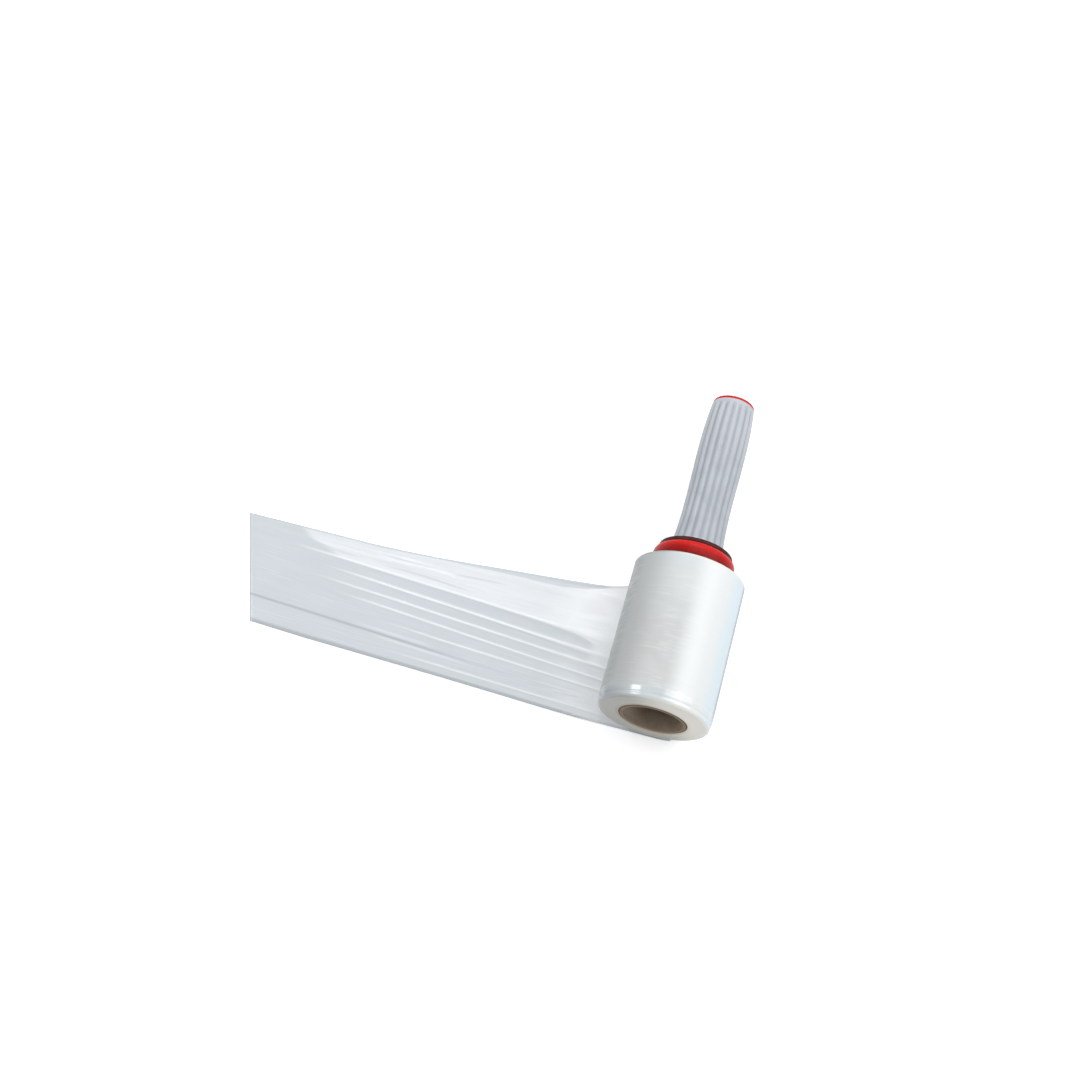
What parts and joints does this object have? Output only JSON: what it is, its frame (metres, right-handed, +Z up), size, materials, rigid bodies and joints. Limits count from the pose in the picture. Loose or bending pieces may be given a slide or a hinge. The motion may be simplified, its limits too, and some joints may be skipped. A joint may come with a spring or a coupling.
{
  "type": "stretch wrap roll on a hand dispenser",
  "caption": "Narrow roll of clear stretch film, tail drawn out flat, on a one-handed dispenser with a red collar and a grey fluted grip that turns on the roll's axis.",
  "frame": {"origin": "centre of the core's open mouth, on the roll's axis", "axes": "+Y along the roll's axis from the open mouth to the grip, +Z up, -X along the drawn-off tail of film; the surface it lies on is the plane z = -45 mm"},
  "size_m": [0.4212, 0.2896, 0.0902],
  "materials": {
    "film": "glossy, translucent milky film",
    "cardboard": "matt grey-brown board",
    "red_plastic": "satin moulded plastic",
    "friction_rubber": "matt",
    "grey_plastic": "satin moulded plastic",
    "nylon": "matt natural nylon",
    "steel": "zinc plated",
    "spring_steel": "oiled"
  },
  "bodies": {
    "roll": {"film_roll": "film", "core": "cardboard", "hub": "red_plastic", "friction_ring": "friction_rubber", "carriage_bolt": "steel", "hub_washer": "steel", "jam_nut": "steel", "spring_washer": "steel", "lock_nut": "steel", "brake_spring": "spring_steel"},
    "handle": {"grip": "grey_plastic", "bush": "nylon", "thrust_washer": "steel", "end_cap": "red_plastic"}
  },
  "joints": [
    {"name": "grip_spin", "type": "hinge", "parent": "roll", "child": "handle", "pos_m": [0, 0.1467, 0], "axis": [0, 1, 0], "continuous": true}
  ]
}
